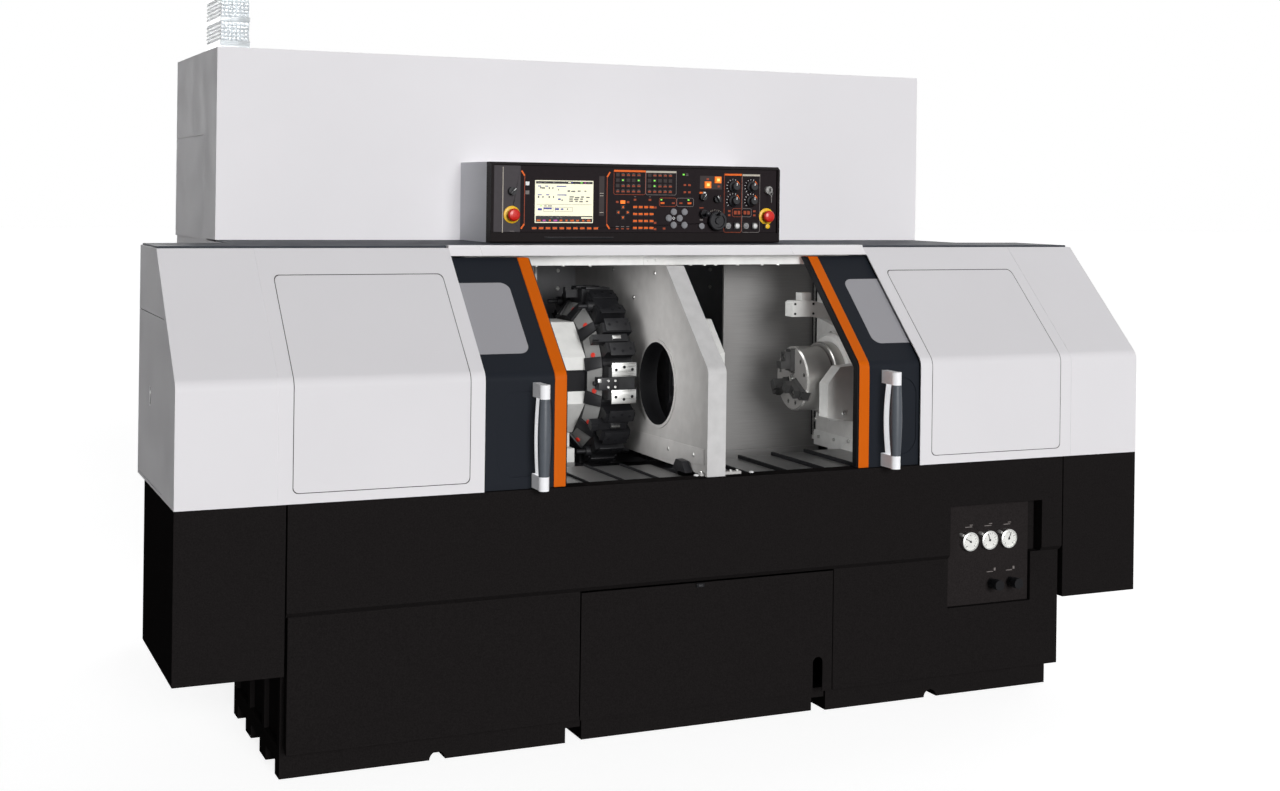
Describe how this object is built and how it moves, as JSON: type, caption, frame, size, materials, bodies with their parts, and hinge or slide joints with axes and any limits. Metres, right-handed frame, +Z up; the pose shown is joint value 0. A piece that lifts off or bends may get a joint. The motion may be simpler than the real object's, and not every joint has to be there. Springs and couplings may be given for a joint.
{
  "type": "two-spindle turning lathe",
  "caption": "Enclosed turning lathe with opposed spindles, indexing tool turrets, sliding bent doors, a centre divider, an overhead cabinet and a control panel.",
  "frame": {"origin": "middle of the machine's outline on the floor", "axes": "+X along the width to the operator's right, +Y from the operator to the back, +Z up"},
  "size_m": [3.14, 1.81, 2.312],
  "materials": {
    "white_paint": "satin",
    "black_paint": "satin",
    "black_casting": "painted",
    "roof_paint": "satin",
    "gray_paint": "satin",
    "way_steel": "brushed",
    "door_paint": "satin",
    "orange_paint": "gloss",
    "window": "tinted",
    "handle_metal": "anodised",
    "chuck_steel": "ground",
    "jaw_steel": "blackened",
    "tool_steel": "blackened",
    "control_plastic": "matte",
    "key_plastic": "satin",
    "screen_glass": "gloss",
    "stop_red": "gloss",
    "lens": "clear",
    "gauge_metal": "polished"
  },
  "bodies": {
    "frame": {"pedestals": "black_casting", "bed": "black_casting", "front_band": "black_paint", "lower_panels": "black_paint", "end_skirts": "black_paint", "gauge_panel": "black_paint", "gauges": "gauge_metal", "left_canopy": "white_paint", "right_canopy": "white_paint", "front_covers": "white_paint", "roof_plates": "roof_paint", "header": "white_paint", "top_rail": "gray_paint", "divider": "gray_paint", "chamber_walls": "gray_paint", "way_covers": "way_steel", "side_covers": "white_paint", "rear_enclosure": "white_paint", "electrical_cabinet": "white_paint", "control_box": "control_plastic", "control_panel": "control_plastic", "screen": "screen_glass", "control_keys": "key_plastic", "signal_lamp": "lens", "tool_setter": "gray_paint", "left_headstock": "gray_paint", "right_headstock": "gray_paint"},
    "left_door": {"left_door_panel": "door_paint", "left_door_edge": "orange_paint", "left_window": "window", "left_handle": "handle_metal"},
    "right_door": {"right_door_panel": "door_paint", "right_door_edge": "orange_paint", "right_window": "window", "right_handle": "handle_metal"},
    "left_spindle": {"left_spindle": "chuck_steel"},
    "right_spindle": {"right_spindle": "chuck_steel"},
    "left_carriage": {"left_carriage": "way_steel"},
    "right_carriage": {"right_carriage": "way_steel"},
    "left_cross_slide": {"left_turret_housing": "gray_paint"},
    "right_cross_slide": {"right_turret_housing": "gray_paint"},
    "left_turret": {"left_turret_drum": "tool_steel", "left_tools": "tool_steel"},
    "right_turret": {"right_turret_drum": "tool_steel", "right_tools": "tool_steel"},
    "service_door": {"service_door": "white_paint"},
    "coolant_tank": {"coolant_tank": "black_paint"},
    "left_stop_button": {"left_stop_button": "stop_red"},
    "right_stop_button": {"right_stop_button": "stop_red"},
    "handwheel": {"handwheel": "control_plastic"},
    "feed_knob": {"feed_knob": "control_plastic"},
    "rapid_knob": {"rapid_knob": "control_plastic"},
    "left_spindle_knob": {"left_spindle_knob": "control_plastic"},
    "right_spindle_knob": {"right_spindle_knob": "control_plastic"},
    "left_jaw_1": {"left_jaw_1": "jaw_steel"},
    "left_jaw_2": {"left_jaw_2": "jaw_steel"},
    "left_jaw_3": {"left_jaw_3": "jaw_steel"},
    "right_jaw_1": {"right_jaw_1": "jaw_steel"},
    "right_jaw_2": {"right_jaw_2": "jaw_steel"},
    "right_jaw_3": {"right_jaw_3": "jaw_steel"}
  },
  "joints": [
    {"name": "left_door_slide", "type": "slide", "parent": "frame", "child": "left_door", "axis": [1, 0, 0], "range_m": [0, 0.45]},
    {"name": "right_door_slide", "type": "slide", "parent": "frame", "child": "right_door", "axis": [1, 0, 0], "range_m": [-0.45, 0]},
    {"name": "left_carriage_feed", "type": "slide", "parent": "frame", "child": "left_carriage", "axis": [1, 0, 0], "range_m": [-0.17, 0.03]},
    {"name": "left_cross_feed", "type": "slide", "parent": "left_carriage", "child": "left_cross_slide", "axis": [0, 1, 0], "range_m": [-0.03, 0.08]},
    {"name": "left_turret_index", "type": "hinge", "parent": "left_cross_slide", "child": "left_turret", "pos_m": [0, -0.114, 1], "axis": [1, 0, 0], "continuous": true},
    {"name": "left_spindle_turn", "type": "hinge", "parent": "frame", "child": "left_spindle", "pos_m": [0, -0.44, 1], "axis": [1, 0, 0], "continuous": true},
    {"name": "left_jaw_1_grip", "type": "slide", "parent": "left_spindle", "child": "left_jaw_1", "axis": [0, 0, 1], "range_m": [-0.004, 0]},
    {"name": "left_jaw_2_grip", "type": "slide", "parent": "left_spindle", "child": "left_jaw_2", "axis": [0, -0.866, -0.5], "range_m": [-0.004, 0]},
    {"name": "left_jaw_3_grip", "type": "slide", "parent": "left_spindle", "child": "left_jaw_3", "axis": [0, 0.866, -0.5], "range_m": [-0.004, 0]},
    {"name": "right_carriage_feed", "type": "slide", "parent": "frame", "child": "right_carriage", "axis": [1, 0, 0], "range_m": [-0.012, 0.19]},
    {"name": "right_cross_feed", "type": "slide", "parent": "right_carriage", "child": "right_cross_slide", "axis": [0, 1, 0], "range_m": [-0.03, 0.08]},
    {"name": "right_turret_index", "type": "hinge", "parent": "right_cross_slide", "child": "right_turret", "pos_m": [0, -0.114, 1], "axis": [1, 0, 0], "continuous": true},
    {"name": "right_spindle_turn", "type": "hinge", "parent": "frame", "child": "right_spindle", "pos_m": [0, -0.44, 1], "axis": [1, 0, 0], "continuous": true},
    {"name": "right_jaw_1_grip", "type": "slide", "parent": "right_spindle", "child": "right_jaw_1", "axis": [0, 0, 1], "range_m": [-0.004, 0]},
    {"name": "right_jaw_2_grip", "type": "slide", "parent": "right_spindle", "child": "right_jaw_2", "axis": [0, -0.866, -0.5], "range_m": [-0.004, 0]},
    {"name": "right_jaw_3_grip", "type": "slide", "parent": "right_spindle", "child": "right_jaw_3", "axis": [0, 0.866, -0.5], "range_m": [-0.004, 0]},
    {"name": "service_door_hinge", "type": "hinge", "parent": "frame", "child": "service_door", "pos_m": [-1.57, -0.623, 1], "axis": [0, 0, 1], "range_deg": [0, 100]},
    {"name": "coolant_tank_runner", "type": "slide", "parent": "frame", "child": "coolant_tank", "axis": [0, -1, 0], "range_m": [0, 0.6]},
    {"name": "left_stop_press", "type": "slide", "parent": "frame", "child": "left_stop_button", "axis": [0, 1, 0], "range_m": [0, 0.004], "stiffness_N_per_m": 1500},
    {"name": "right_stop_press", "type": "slide", "parent": "frame", "child": "right_stop_button", "axis": [0, 1, 0], "range_m": [0, 0.004], "stiffness_N_per_m": 1500},
    {"name": "handwheel_turn", "type": "hinge", "parent": "frame", "child": "handwheel", "pos_m": [0.3068, -0.194, 1.513], "axis": [0, 1, 0], "continuous": true},
    {"name": "feed_knob_turn", "type": "hinge", "parent": "frame", "child": "feed_knob", "pos_m": [0.3733, -0.194, 1.629], "axis": [0, 1, 0], "range_deg": [-130, 130]},
    {"name": "rapid_knob_turn", "type": "hinge", "parent": "frame", "child": "rapid_knob", "pos_m": [0.4417, -0.194, 1.629], "axis": [0, 1, 0], "range_deg": [-130, 130]},
    {"name": "left_spindle_knob_turn", "type": "hinge", "parent": "frame", "child": "left_spindle_knob", "pos_m": [0.3733, -0.194, 1.581], "axis": [0, 1, 0], "range_deg": [-130, 130]},
    {"name": "right_spindle_knob_turn", "type": "hinge", "parent": "frame", "child": "right_spindle_knob", "pos_m": [0.4417, -0.194, 1.581], "axis": [0, 1, 0], "range_deg": [-130, 130]}
  ],
  "couplings": [
    {"joint": "left_jaw_2_grip", "follows": "left_jaw_1_grip", "ratio": 1},
    {"joint": "left_jaw_3_grip", "follows": "left_jaw_1_grip", "ratio": 1},
    {"joint": "right_jaw_2_grip", "follows": "right_jaw_1_grip", "ratio": 1},
    {"joint": "right_jaw_3_grip", "follows": "right_jaw_1_grip", "ratio": 1}
  ]
}
